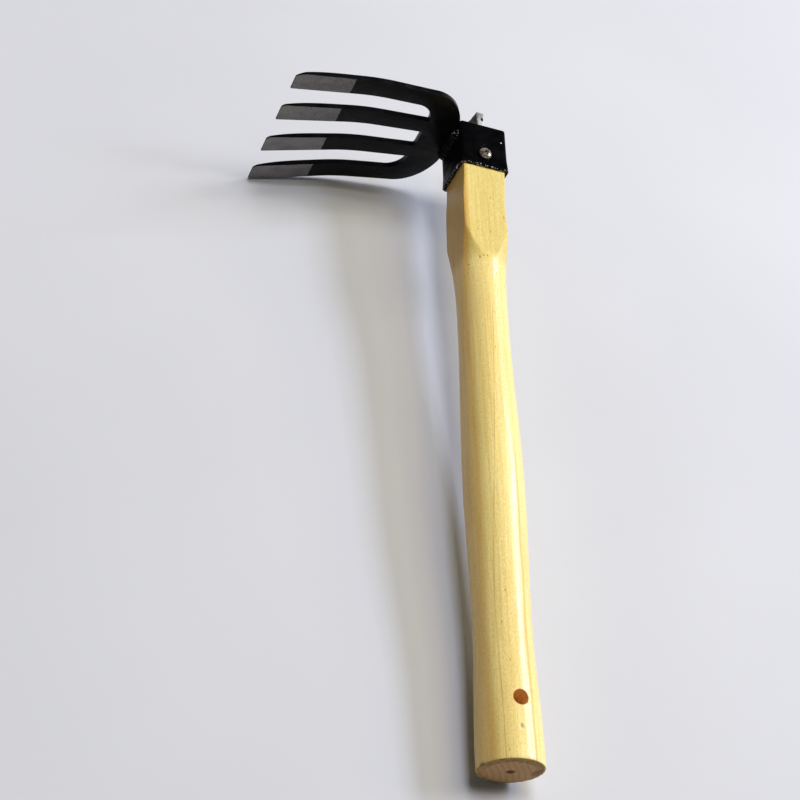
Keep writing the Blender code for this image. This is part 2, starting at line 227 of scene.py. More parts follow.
# Colours of the wood, and tints that it is multiplied by
WOOD_PALE, WOOD_TAN = (0.84, 0.67, 0.235), (0.77, 0.575, 0.175)
LATE_WOOD, PORE = (0.60, 0.40, 0.13), (0.40, 0.25, 0.10)
FIBRE_DARK, FIBRE_LIGHT = (0.62, 0.42, 0.14), (0.93, 0.80, 0.45)
SPECKLE_DARK, SPECKLE_LIGHT = (0.55, 0.36, 0.13), (0.95, 0.84, 0.52)
# the second colour here is painted shade beside the grain line
GRAIN_LINE, SHADE_BESIDE_LINE = (0.42, 0.26, 0.08), (0.56, 0.42, 0.13)
MARK_BROWN, STREAK_BROWN = (0.26, 0.16, 0.06), (0.50, 0.33, 0.13)
BAND_TINT, FLAT_TINT = (0.76, 0.55, 0.38), (0.79, 0.80, 0.70)
# painted shade: these darken and brown the handle's -X side, and its flat there
SHADED_SIDE_TINT, SHADED_FLAT_TINT = (0.79, 0.65, 0.42), (1.0, 0.90, 0.86)
END_EARLY, END_MIDDLE, END_LATE = (0.51, 0.30, 0.125), (0.48, 0.27, 0.11), (0.40, 0.215, 0.08)
END_DIRT, CHIP_BROWN = (0.36, 0.23, 0.12), (0.17, 0.085, 0.035)
CHAMFER_TAN, CHAMFER_BROWN = (0.42, 0.27, 0.09), (0.29, 0.165, 0.05)
# the hole's two colours are painted light: paler than the stained wall, to stand for light reaching into the
# hole
HOLE_LIT_BROWN, HOLE_LIT_TAN, PIT_BROWN = (0.80, 0.46, 0.19), (0.90, 0.58, 0.26), (0.26, 0.13, 0.05)


def varnished_wood():
    """Pale wood: growth rings, fibres, pores and blotches under clear varnish."""
    paint = Paint("handle_varnish")
    x, y, z = paint.axes()

    # growth rings about a pith that lies outside the handle, with the grain running out a little
    bend = paint.noise((26, 3.2, 26), 2.0)
    drift = paint.math("MULTIPLY_ADD", y, PITH_DRIFT, PITH_X)
    radius = paint.distance(paint.math("ADD", x, drift), paint.math("ADD", z, PITH_Z))
    turns = paint.math("DIVIDE", radius, RING_WIDTH)
    turns = paint.math("ADD", turns, paint.math("MULTIPLY", bend, 1.9))
    ring = paint.math("FRACT", turns)
    late = paint.ramp(ring, (0.0, (0.55,) * 3), (0.12, (0,) * 3), (0.55, (0.1,) * 3),
                      (0.86, (0.75,) * 3), (0.97, (1,) * 3))
    strength = paint.span(paint.noise((60, 7, 60), 2.0, offset=(3, 1, 2)), 0.35, 0.68, 0.12, 0.75)
    late = paint.math("MULTIPLY", late, strength)

    fibre = paint.noise((820, 20, 820), 3.0, 0.6)
    fleck = paint.noise((1500, 70, 1500), 2.0, 0.55, offset=(5, 0, 9))
    blotch = paint.noise((48, 8, 48), 3.0, 0.55, offset=(1, 4, 7))
    sand = paint.noise((1150, 620, 1150), 2.0, 0.7, offset=(7, 2, 3))
    colour = paint.mix(paint.span(blotch, 0.35, 0.7), WOOD_PALE, WOOD_TAN)
    colour = paint.mix(paint.math("MULTIPLY", late, 0.34), colour, LATE_WOOD)
    colour = paint.mix(paint.span(fibre, 0.42, 0.66, 0.0, 0.18), colour, FIBRE_DARK)
    colour = paint.mix(paint.span(fibre, 0.56, 0.34, 0.0, 0.20), colour, FIBRE_LIGHT)
    colour = paint.mix(paint.span(sand, 0.52, 0.72, 0.0, 0.42), colour, SPECKLE_DARK)
    colour = paint.mix(paint.span(sand, 0.48, 0.30, 0.0, 0.34), colour, SPECKLE_LIGHT)
    colour = paint.mix(paint.span(fleck, 0.65, 0.76, 0.0, 0.45), colour, PORE)

    # one growth ring that shows as a long line down the grip; painted shade darkens the wood on its -X side
    wander = paint.math("MULTIPLY", paint.math("ADD", paint.noise((9, 11, 9), 3.0), -0.5), 0.0022)
    course = paint.math("MULTIPLY_ADD", paint.span(y, -0.30, -0.09, 0.0, 1.0), 0.0083, -0.0094)
    beside = paint.math("SUBTRACT", paint.math("ADD", x, wander), course)
    above = paint.span(z, 0.0, 0.004)
    line = paint.span(paint.math("ABSOLUTE", beside), 0.00042, 0.00008, 0.0, 0.62)
    line = paint.math("MULTIPLY", line, paint.span(fibre, 0.30, 0.62, 0.35, 1.0))
    line = paint.math("MULTIPLY", line, paint.span(y, -0.075, -0.10))
    painted_shade = paint.math("MULTIPLY", paint.span(beside, 0.0002, -0.0050, 0.0, 0.26),
                        paint.span(y, -0.075, -0.11))
    colour = paint.mix(paint.math("MULTIPLY", painted_shade, above), colour, SHADE_BESIDE_LINE)
    colour = paint.mix(paint.math("MULTIPLY", line, above), colour, GRAIN_LINE)

    # a narrow brown band of another ring comes to the surface along the +X side of the grip
    band = paint.math("ADD", x, paint.math("MULTIPLY", paint.noise((40, 25, 40), 2.0), 0.0022))
    brown = paint.math("MULTIPLY", paint.span(band, 0.0066, 0.0074), paint.span(band, 0.0090, 0.0079))
    brown = paint.math("MULTIPLY", brown, paint.math("MULTIPLY", paint.span(y, -0.190, -0.215),
                                                     paint.span(z, 0.0, 0.004, 0.0, 0.62)))
    colour = paint.mix(brown, colour, BAND_TINT, "MULTIPLY")

    # the planed flats at the top took less varnish and stay duller; the -X side towards the tines is painted
    # darker and browner as painted shade, its flat most of all
    planed = paint.span(y, *FLAT_FADES)
    colour = paint.mix(planed, colour, FLAT_TINT, "MULTIPLY")
    shaded_side = paint.span(x, -0.0112, -0.0148)
    colour = paint.mix(shaded_side, colour, SHADED_SIDE_TINT, "MULTIPLY")
    colour = paint.mix(paint.math("MULTIPLY", planed, shaded_side), colour, SHADED_FLAT_TINT, "MULTIPLY")

    # small dark marks left by the plane at the end of the flat, scattered specks and a knot
    specks = paint.span(paint.cells((260, 95, 260)), 0.10, 0.05)
    marks = paint.math("MULTIPLY", specks, paint.span(blotch, 0.50, 0.56))
    for centre, radii in WOOD_MARKS:
        marks = paint.math("MAXIMUM", marks, paint.spot(centre, radii, 0.8))
    streak = paint.spot((0.0008, -0.0400, 0.0150), (0.0006, 0.0400, 0.004), 0.8)
    colour = paint.mix(paint.math("MULTIPLY", marks, 0.62), colour, MARK_BROWN)
    colour = paint.mix(paint.math("MULTIPLY", streak, 0.42), colour, STREAK_BROWN)

    # end grain drinks the varnish and goes brown, most of all in a chipped corner
    end = paint.span(y, CHAMFER_Y + 0.0001, CHAMFER_Y - 0.0002)
    axis = paint.distance(x, z)
    rings = paint.ramp(ring, (0.0, END_EARLY), (0.5, END_MIDDLE), (0.9, END_LATE))
    rough_end = paint.noise((500, 500, 500), 3.0, 0.6)
    rings = paint.mix(paint.span(rough_end, 0.42, 0.66, 0.0, 0.45), rings, END_DIRT)
    chamfer = paint.mix(paint.span(rough_end, 0.36, 0.62), CHAMFER_TAN, CHAMFER_BROWN)
    edge = paint.math("ADD", axis, paint.math("MULTIPLY", rough_end, 0.0006))
    rings = paint.mix(paint.span(edge, BUTT_FACE_RADIUS, BUTT_FACE_RADIUS + 0.0006), rings, chamfer)
    colour = paint.mix(end, colour, rings)
    chip = paint.spot((0.0136, -0.3915, 0.0030), (0.0038, 0.0022, 0.0058), 0.5)
    chip = paint.math("MAXIMUM", chip, paint.spot((-0.0174, -0.3912, 0.0034), (0.0018, 0.0014, 0.0026)))
    crack = paint.spot((0.0048, -0.3909, 0.0158), (0.0005, 0.0016, 0.0024))
    dark = paint.math("MAXIMUM", paint.math("MULTIPLY", chip, 0.75), paint.math("MULTIPLY", crack, 0.5))
    colour = paint.mix(dark, colour, CHIP_BROWN)

    # drilled hole: its reddish-brown walls are painted much paler than stained wood, as painted light
    # reaching into the hole; the lathe mark's pit is dark brown
    away = paint.distance(x, paint.math("ADD", y, -HOLE_Y))
    wall = paint.span(away, HOLE_RADIUS + 0.00022, HOLE_RADIUS + 0.00008)
    lit_wall_colour = paint.ramp(paint.noise((900, 900, 120), 3.0), (0.3, HOLE_LIT_BROWN), (0.7, HOLE_LIT_TAN))
    colour = paint.mix(wall, colour, lit_wall_colour)
    pit = paint.math("MULTIPLY", paint.span(axis, LATHE_MARK_RADIUS, LATHE_MARK_RADIUS - 0.0005),
                     paint.span(y, -HANDLE_LENGTH - 0.0001, -HANDLE_LENGTH + 0.0003))
    pit = paint.math("MULTIPLY", pit, paint.span(y, -HANDLE_LENGTH + 0.006, -HANDLE_LENGTH + 0.005))
    colour = paint.mix(pit, colour, PIT_BROWN)
    paint.set(Base_Color=colour)

    bare = paint.math("MAXIMUM", end, wall)
    gloss = paint.span(fibre, 0.3, 0.7, 0.44, 0.58)
    paint.set(Roughness=paint.math("MULTIPLY_ADD", bare, 0.35, gloss))
    dull = paint.math("MAXIMUM", bare, paint.math("MULTIPLY", planed, 0.7))
    paint.set(Coat_Weight=paint.math("MULTIPLY_ADD", dull, -0.5, 0.55))
    paint.shader.inputs["Coat Roughness"].default_value = 0.17
    paint.shader.inputs["Coat IOR"].default_value = 1.5
    paint.shader.inputs["Specular IOR Level"].default_value = 0.4
    grain = paint.noise((420, 14, 420), 3.0, 0.6, offset=(2, 6, 1))
    paint.bump((grain, 0.00022), (fibre, 0.00012), (sand, 0.00016),
               (paint.math("MULTIPLY", marks, -1.0), 0.0003),
               (paint.math("MULTIPLY", rough_end, end), 0.0004))
    ripple = paint.add("Bump", {"Height": sand, "Distance": 0.00012, "Strength": 1.0}).outputs[0]
    ripple = paint.add("Bump", {"Height": grain, "Distance": 0.00012, "Strength": 1.0, "Normal": ripple})
    paint.set(Coat_Normal=ripple.outputs[0])
    return paint.material


BLACK, BLACK_WORN = (0.0014, 0.0014, 0.0016), (0.0024, 0.0023, 0.0025)
DUST, SCRATCH = (0.42, 0.41, 0.40), (0.035, 0.034, 0.034)


def black_paint(name, roughness, orange_peel, shine=0.12, streaks=0.0, lumps=0.0):
    """Black paint on steel, with dust, worn specks and a slightly uneven gloss."""
    paint = Paint(name)
    cloud = paint.noise((90, 90, 90), 3.0)
    fine = paint.noise((1400, 1400, 1400), 3.0, 0.6)
    colour = paint.mix(paint.span(cloud, 0.35, 0.7), BLACK, BLACK_WORN)
    dust = paint.span(paint.cells((620, 620, 620)), 0.13, 0.07)
    dust = paint.math("MULTIPLY", dust, paint.span(paint.noise((130, 130, 130), 2.0, offset=(7, 3, 1)),
                                                   0.56, 0.66, 0.0, 0.35))
    colour = paint.mix(dust, colour, DUST)
    scratch = paint.span(paint.noise((90, 1300, 1300), 2.0, 0.5, offset=(0, 8, 3)), 0.69, 0.76, 0.0, 0.25)
    colour = paint.mix(scratch, colour, SCRATCH)
    paint.set(Base_Color=colour)
    paint.set(Roughness=paint.span(cloud, 0.3, 0.7, roughness, roughness + 0.12))
    paint.shader.inputs["Specular IOR Level"].default_value = shine
    layers = [(cloud, 0.0008 + lumps), (fine, orange_peel)]
    if streaks:
        layers.append((paint.noise((900, 25, 900), 2.0), streaks))
    paint.bump(*layers)
    return paint


# Rust marks on the ground faces: (centre, radii)
TIP_MARKS = (((-0.1040, 0.0088, 0.0135), (0.0032, 0.004, 0.0018)),
             ((-0.1330, -0.0010, -0.0440), (0.0020, 0.004, 0.0018)),
             ((-0.1035, 0.0080, -0.0420), (0.0018, 0.004, 0.0022)),
             ((-0.1290, 0.0005, 0.0430), (0.0012, 0.004, 0.0010)))
GRIND_LINE = -0.09705           # where the ground face begins
GROUND_LIGHT, GROUND_DARK = (0.215, 0.205, 0.205), (0.15, 0.143, 0.147)
GRIT_LIGHT, STAIN, RUST = (0.30, 0.29, 0.27), (0.05, 0.035, 0.035), (0.035, 0.026, 0.028)


def ground_tip():
    """Inner face of a tine: ground bare towards the tip, black paint above the line."""
    paint = black_paint("ground_tip", 0.34, 0.00003)
    x = paint.axes()["X"]
    edge = paint.math("ADD", x, paint.math("MULTIPLY", paint.noise((150, 150, 420), 3.0), 0.0011))
    bare = paint.span(edge, GRIND_LINE, GRIND_LINE - 0.0003)
    cloud = paint.noise((60, 60, 140), 3.0, 0.6, offset=(4, 4, 4))
    grit = paint.noise((1500, 400, 520), 3.0, 0.65)
    steel = paint.mix(paint.span(cloud, 0.35, 0.65), GROUND_LIGHT, GROUND_DARK)
    steel = paint.mix(paint.span(grit, 0.4, 0.65, 0.0, 0.45), steel, GRIT_LIGHT)
    stain = paint.noise((420, 420, 420), 2.0, offset=(2, 9, 5))
    steel = paint.mix(paint.span(stain, 0.66, 0.74, 0.0, 0.6), steel, STAIN)
    marks = paint.spot(*TIP_MARKS[0], 0.9)
    for centre, radii in TIP_MARKS[1:]:
        marks = paint.math("MAXIMUM", marks, paint.spot(centre, radii, 0.9))
    marks = paint.math("MULTIPLY", marks, paint.span(grit, 0.3, 0.6, 0.35, 0.8))
    steel = paint.mix(marks, steel, RUST)
    paint.set(Base_Color=paint.mix(bare, paint.source("Base Color"), steel))
    paint.set(Metallic=paint.math("MULTIPLY", bare, 0.55))
    painted = paint.math("MULTIPLY", paint.source("Roughness"), paint.math("SUBTRACT", 1.0, bare))
    ground = paint.math("MULTIPLY", paint.span(grit, 0.3, 0.7, 0.42, 0.60), bare)
    paint.set(Roughness=paint.math("ADD", painted, ground))
    paint.bump((grit, 0.00012), (cloud, 0.0003), (paint.math("MULTIPLY", bare, -1.0), 0.00008))
    return paint.material


SAWN, SAWN_DARK = (0.070, 0.054, 0.046), (0.028, 0.022, 0.019)
CUT_BRIGHT, CUT_GREY = (0.95, 0.94, 0.92), (0.30, 0.29, 0.27)
BURR, PIT_BLACK = (0.17, 0.155, 0.14), (0.02, 0.02, 0.02)


def rough_steel():
    """Wedge: dull sawn sides, a bright cut end and a battered top."""
    paint = Paint("raw_wedge_steel")
    y, z = paint.axes()["Y"], paint.axes()["Z"]
    end = paint.span(z, 0.0118, 0.0126)
    paint.set(Metallic=paint.math("MULTIPLY_ADD", end, 0.4, 0.15))
    paint.shader.inputs["Specular IOR Level"].default_value = 0.2
    scale = paint.noise((240, 240, 240), 4.0, 0.6)
    grit = paint.noise((1700, 1700, 500), 3.0, 0.65)
    side = paint.mix(paint.span(scale, 0.35, 0.65), SAWN, SAWN_DARK)
    bright = paint.mix(paint.span(grit, 0.35, 0.7), CUT_BRIGHT, CUT_GREY)
    pit = paint.spot((0.0009, SOCKET_HEIGHT + 0.0078, 0.0130), (0.0013, 0.0018, 0.002), 0.6)
    burr = paint.math("ADD", y, paint.math("MULTIPLY", scale, 0.006))
    burr = paint.span(burr, SOCKET_HEIGHT + 0.010, SOCKET_HEIGHT + 0.0125, 0.0, 0.6)
    bright = paint.mix(pit, paint.mix(burr, bright, BURR), PIT_BLACK)
    paint.set(Base_Color=paint.mix(end, side, bright))
    paint.set(Roughness=paint.mix(end, paint.span(grit, 0.3, 0.7, 0.62, 0.85),
                                  paint.span(grit, 0.3, 0.7, 0.32, 0.58)))
    paint.bump((scale, 0.0006), (grit, 0.00018), (paint.math("MULTIPLY", pit, -1.0), 0.0008))
    return paint.material


# the last colour is painted shade for the cross recess
ZINC_BRIGHT, ZINC_DULL, PAINTED_RECESS_SHADE = (0.66, 0.60, 0.49), (0.20, 0.16, 0.11), (0.03, 0.026, 0.02)


def zinc_plate():
    """Screw: bright zinc, with painted shade darkening the cross recess."""
    paint = Paint("zinc_plate", Metallic=0.8)
    x, y, z = paint.axes()
    cloud = paint.noise((500, 500, 500), 3.0)
    colour = paint.mix(paint.span(cloud, 0.35, 0.68), ZINC_BRIGHT, ZINC_DULL)
    # painted shade: the cross recess is darkened towards its bottom
    deep = paint.span(z, SOCKET_WIDTH / 2 + 0.0022, SOCKET_WIDTH / 2 + 0.0014)
    away = paint.distance(x, paint.math("ADD", y, -SCREW_Y))
    recess_shade = paint.math("MULTIPLY", deep, paint.span(away, 0.0026, 0.0022))
    colour = paint.mix(paint.math("MULTIPLY", recess_shade, 0.85), colour, PAINTED_RECESS_SHADE)
    paint.set(Base_Color=colour)
    paint.set(Roughness=paint.span(cloud, 0.3, 0.7, 0.16, 0.34))
    paint.bump((paint.noise((900, 900, 900), 3.0), 0.00008))
    return paint.material


# Mesh helpers -----------------------------------------------------------------------------

def link(name, mesh):
    """Add an object with this mesh, in the tool's axes."""
    thing = bpy.data.objects.new(name, mesh)
    scene.collection.objects.link(thing)
    thing.matrix_world = TOOL
    return thing


def from_bmesh(name, bm):
    """Object with the faces of a bmesh, all turned outwards."""
    bmesh.ops.recalc_face_normals(bm, faces=bm.faces)
    mesh = bpy.data.meshes.new(name)
    bm.to_mesh(mesh)
    bm.free()
    return link(name, mesh)


def loft(name, rings, closed=False):
    """Body from a stack of rings of equal length: capped at both ends, or closed on itself."""
    count, levels = len(rings[0]), len(rings)
    points = [point for ring in rings for point in ring]
    faces = []
    for k in range(levels if closed else levels - 1):
        m = (k + 1) % levels
        for i in range(count):
            j = (i + 1) % count
            faces.append((k * count + i, k * count + j, m * count + j, m * count + i))
    if not closed:
        faces.append(tuple(range(count - 1, -1, -1)))
        faces.append(tuple(range((levels - 1) * count, levels * count)))
    mesh = bpy.data.meshes.new(name)
    mesh.from_pydata(points, [], faces)
    mesh.update()
    bm = bmesh.new()
    bm.from_mesh(mesh)
    bmesh.ops.recalc_face_normals(bm, faces=bm.faces)
    bm.to_mesh(mesh)
    bm.free()
    return link(name, mesh)


def subtract(thing, cutters):
    """Cut the cutters out of a piece for good, and drop them."""
    for cutter in cutters:
        modifier = thing.modifiers.new(cutter.name, "BOOLEAN")
        modifier.operation = "DIFFERENCE"
        modifier.solver = "EXACT"
        modifier.object = cutter
    bake(thing)
    for cutter in cutters:
        bpy.data.objects.remove(cutter, do_unlink=True)


def bake(thing):
    """Turn a piece's modifiers into its mesh."""
    bpy.context.view_layer.update()
    graph = bpy.context.evaluated_depsgraph_get()
    mesh = bpy.data.meshes.new_from_object(thing.evaluated_get(graph))
    thing.modifiers.clear()
    thing.data = mesh


def bevel(thing, width, segments, angle=35):
    """Round over the edges sharper than the angle."""
    modifier = thing.modifiers.new("edges", "BEVEL")
    modifier.width = width
    modifier.segments = segments
    modifier.limit_method = "ANGLE"
    modifier.angle_limit = math.radians(angle)
    bake(thing)


def shade_round(thing, angle):
    """Shade a piece smooth, with edges sharper than the angle kept crisp."""
    thing.data.shade_smooth()
    thing.data.set_sharp_from_angle(angle=math.radians(angle))


def finish_piece(thing, node, *materials):
    """Give a piece its materials, and let it stand for the CAD node."""
    for material in materials:
        thing.data.materials.append(material)
    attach(thing, "root")
    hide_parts(node)


# Handle -----------------------------------------------------------------------------------

ROUND_POINTS = 208
RING_STEP = 0.0015

# The lathe's stops: (distance below the socket's rim, radius)
WAIST_AT, BELLY_AT = 0.116, 0.226
TURNING = ((WAIST_AT, 0.0154), (BELLY_AT, 0.0175), (0.312, 0.01605), (0.384, BUTT_RADIUS))

# The neck, also by the distance below the rim: it sits and leans a little towards the tines
NECK_START, NECK_CORNER, NECK_CURVE = 0.045, 0.0219, 3.2
NECK_SHIFT, SHIFT_OVER = -0.0007, 0.03
NECK_LEAN, LEAN_END, LEAN_OVER = -0.0006, 0.10, 0.04

# The planed flats: where each ends, its distance from the axis there, and how fast it flares
FLAT_AT, FLAT_HALF, FLAT_FLARE = 0.073, 0.0167, 4
LONG_FLAT_AT, LONG_FLAT_HALF, LONG_FLAT_FLARE = 0.108, 0.0151, 1.5
FLAT_CORNER_POWER = 44          # sharpness of the corners between neighbouring flats
FLAT_EDGE_BLEND = 0.0003        # rounding where a flat meets the turned wood

# The worn butt: (how far inside the full radius, Y from the start of the chamfer, unevenness)
BUTT_SHOULDER = ((0.00003, 0.00035, 0.0), (0.00016, 0.00005, 0.0001), (0.00050, -0.00012, 0.0002))
BUTT_FACE_RINGS = (0.0138, 0.0124, 0.0108, 0.0090, 0.0070, 0.0050, 0.0036)
BUTT_FACE_LIFT = 0.00004
LATHE_MARK = ((0.00265, 0.00002), (0.00235, 0.0002), (0.0019, 0.0008), (0.0008, 0.0026), (0.0003, 0.0033))
PILOT_RADIUS, PILOT_DEPTH = 0.0022, 0.0186


def turned_radius(distance):
    """Radius that the lathe leaves at a distance below the socket's rim."""
    waist_at, waist = TURNING[0]
    if distance < waist_at:
        t = max(0.0, (distance - NECK_START) / (waist_at - NECK_START))
        return waist + (NECK_CORNER - waist) * (1 - t) ** NECK_CURVE
    for (start, r0), (end, r1) in zip(TURNING, TURNING[1:]):
        if distance <= end:
            return blend(r0, r1, ease((distance - start) / (end - start)))
    return BUTT_RADIUS


def handle_ring(distance):
    """Section of the handle: the turned circle cut off by four planed flats."""
    radius = turned_radius(distance)
    below = max(0.0, distance)
    flat = blend(TENON_WIDTH / 2, FLAT_HALF, (below / FLAT_AT) ** FLAT_FLARE)
    long_flat = blend(TENON_WIDTH / 2, LONG_FLAT_HALF, (below / LONG_FLAT_AT) ** LONG_FLAT_FLARE)
    shift = NECK_SHIFT * ease((BELLY_AT - distance) / (BELLY_AT - WAIST_AT))
    shift = (shift + NECK_LEAN * ease((LEAN_END - distance) / LEAN_OVER)) * ease(distance / SHIFT_OVER)
    power = FLAT_CORNER_POWER
    ring = []
    for i in range(ROUND_POINTS):
        angle = 2 * math.pi * i / ROUND_POINTS
        x, z = math.cos(angle), math.sin(angle)
        across = abs(x) / (flat if x > 0 else long_flat)
        planed = (across ** power + (abs(z) / flat) ** power) ** (-1 / power)
        reach = soft_min(radius, planed, FLAT_EDGE_BLEND)
        reach += 0.00006 * wobble(x * 0.02, distance * 0.35, z * 0.02, 0.016)
        ring.append((shift + reach * x, -distance, reach * z))
    return ring


def end_ring(radius, y, rough=0.0):
    """Circle about the handle's axis, as uneven along the axis as the roughness says."""
    ring = []
    for i in range(ROUND_POINTS):
        angle = 2 * math.pi * i / ROUND_POINTS
        x, z = radius * math.cos(angle), radius * math.sin(angle)
        ring.append((x, y + rough * wobble(x, 0, z, 0.003), z))
    return ring


def hole_cutter():
    """Drill through the handle along Z, its two rims rounded over where it breaks the surface."""
    radius = turned_radius(-HOLE_Y)
    # (height over the handle's surface, widening of the drill) from outside inwards
    lips = ((0.03, 0.00030), (0.0, 0.00030), (-0.00012, 0.00011), (-0.00030, 0.0))
    count = 72
    rings = []
    for side in (1, -1):
        for lift, flare in lips if side > 0 else lips[::-1]:
            ring = []
            for i in range(count):
                angle = 2 * math.pi * i / count
                reach = HOLE_RADIUS + flare
                x, y = reach * math.cos(angle), reach * math.sin(angle)
                ring.append((x, HOLE_Y + y, side * (math.sqrt(radius ** 2 - x ** 2) + lift)))
            rings.append(ring)
    return loft("hole_cutter", rings)


def pilot_cutter():
    """Hole for the screw, from the tenon's +Z face inwards."""
    angles = [math.pi * i / 16 for i in range(32)]
    rings = []
    for z in (SOCKET_WIDTH / 2 - PILOT_DEPTH, 0.03):
        rings.append([(PILOT_RADIUS * math.cos(a), SCREW_Y + PILOT_RADIUS * math.sin(a), z) for a in angles])
    return loft("pilot_cutter", rings)


def butt_rings():
    """The handle's end: worn shoulder, rough chamfer, sawn face and the lathe's centre mark."""
    rings = [end_ring(BUTT_RADIUS - inset, CHAMFER_Y + along, rough) for inset, along, rough in BUTT_SHOULDER]
    inset, along, rough = BUTT_SHOULDER[-1]
    for k in range(1, 6):
        radius = blend(BUTT_RADIUS - inset, BUTT_FACE_RADIUS + 0.0003, k / 5)
        y = blend(CHAMFER_Y + along, -HANDLE_LENGTH + 0.00016, k / 5)
        rings.append(end_ring(radius, y, 0.0003))
    face_y = -HANDLE_LENGTH + BUTT_FACE_LIFT
    rings.append(end_ring(BUTT_FACE_RADIUS + 0.00005, face_y))
    rings += [end_ring(radius, face_y, 0.00004) for radius in BUTT_FACE_RINGS]
    return rings + [end_ring(radius, -HANDLE_LENGTH + depth) for radius, depth in LATHE_MARK]


def make_handle():
    start, end = TENON_SINK - SOCKET_HEIGHT, HANDLE_LENGTH - BUTT_CHAMFER
    count = round((end - start) / RING_STEP)
    rings = [handle_ring(blend(start, end, i / count)) for i in range(count)]
    handle = loft("handle_wood", rings + butt_rings())
    saw_cut = loft("saw_cut_cutter", wedge_rings(GAP, TENON_WIDTH))
    subtract(handle, [hole_cutter(), saw_cut, pilot_cutter()])
    shade_round(handle, 32)
    finish_piece(handle, "handle", varnished_wood())


# Wedge ------------------------------------------------------------------------------------

WEDGE_HALF_WIDTH = 0.0130
WEDGE_POINT_HALF, WEDGE_HEAD_HALF = 0.0007, 0.0024
WEDGE_DEPTH = 0.0175            # below the tenon's end
WEDGE_HEAD_SLOPE = math.tan(math.radians(12))
WEDGE_EDGE = 0.0016             # longest edge of its mesh, fine enough to show the dents
WEDGE_DENT = 0.00022
HEAD_SPREAD, HEAD_DENT = 0.00028, 0.00055


def wedge_rings(margin, half_width):
    """Point and head of the wedge, or of its saw cut when there is a margin."""
    point_y = SOCKET_HEIGHT - TENON_SINK - WEDGE_DEPTH - margin
    rise = half_width * WEDGE_HEAD_SLOPE
    rings = []
    for y, half, slope in ((point_y, WEDGE_POINT_HALF + margin, 0.0),
                           (WEDGE_TOP + margin, WEDGE_HEAD_HALF + margin, rise)):
        rings.append([(-half, y + slope, -half_width), (half, y + slope, -half_width),
                      (half, y - slope, half_width), (-half, y - slope, half_width)])
    return rings


def make_wedge():
    wedge = loft("wedge_steel", wedge_rings(0.0, WEDGE_HALF_WIDTH))
    bevel(wedge, 0.00035, 2)
    bm = bmesh.new()
    bm.from_mesh(wedge.data)
    bmesh.ops.triangulate(bm, faces=[face for face in bm.faces if len(face.verts) > 4])
    for _ in range(3):
        long = [edge for edge in bm.edges if edge.calc_length() > WEDGE_EDGE]
        bmesh.ops.subdivide_edges(bm, edges=long, cuts=1, use_grid_fill=True)
    bmesh.ops.triangulate(bm, faces=bm.faces)
    bm.normal_update()
    for vert in bm.verts:
        x, y, z = vert.co
        battered = ease((y - WEDGE_TOP + 0.0055) / 0.004)
        free = ease((y - SOCKET_HEIGHT) / 0.001)
        vert.co += vert.normal * free * WEDGE_DENT * wobble(x, y, z, 0.0016)
        vert.co.x += math.copysign(HEAD_SPREAD, x) * battered * (0.6 + wobble(z, y, 0, 0.004))
        vert.co.y += battered * HEAD_DENT * wobble(x, 7, z, 0.0024)
    bm.to_mesh(wedge.data)
    bm.free()
    shade_round(wedge, 40)
    finish_piece(wedge, "wedge", rough_steel())


# Socket -----------------------------------------------------------------------------------

SOCKET_OUTER = SOCKET_WIDTH / 2
SOCKET_INNER = SOCKET_OUTER - SOCKET_WALL
OUTER_CORNER, INNER_CORNER = 0.0022, 0.0006
RIM_FLARE, FLARE_OVER = 0.0007, 0.011       # the walls spread a little towards the lower rim
NICK = (0.0121, 0.0228, 0.0160)             # bare spot on the +Z wall
BARE_STEEL = (0.55, 0.54, 0.52)


def square_ring(half, radius, y, flare=0.0, rough=0.0):
    """Rounded square with points along its sides too, so that its rim can be uneven."""
    steps, runs = 8, 14
    ring = []
    for corner in range(4):
        start = corner * math.pi / 2
        cx = (half - radius) * (1 if corner in (0, 3) else -1)
        cz = (half - radius) * (1 if corner in (0, 1) else -1)
        for i in range(steps + 1):
            angle = start + math.pi / 2 * i / steps
            ring.append((cx + radius * math.cos(angle), cz + radius * math.sin(angle)))
        side = Vector(ring[-1])
        run = -2 * (half - radius)
        heading = Vector((math.cos(start), math.sin(start)))
        for i in range(1, runs):
            ring.append(tuple(side + heading * run * i / runs))
    return [(x + math.copysign(flare, x) * min(1.0, abs(x) / half), y + rough * wobble(x, y, z, 0.0022), z)
            for x, z in ring]


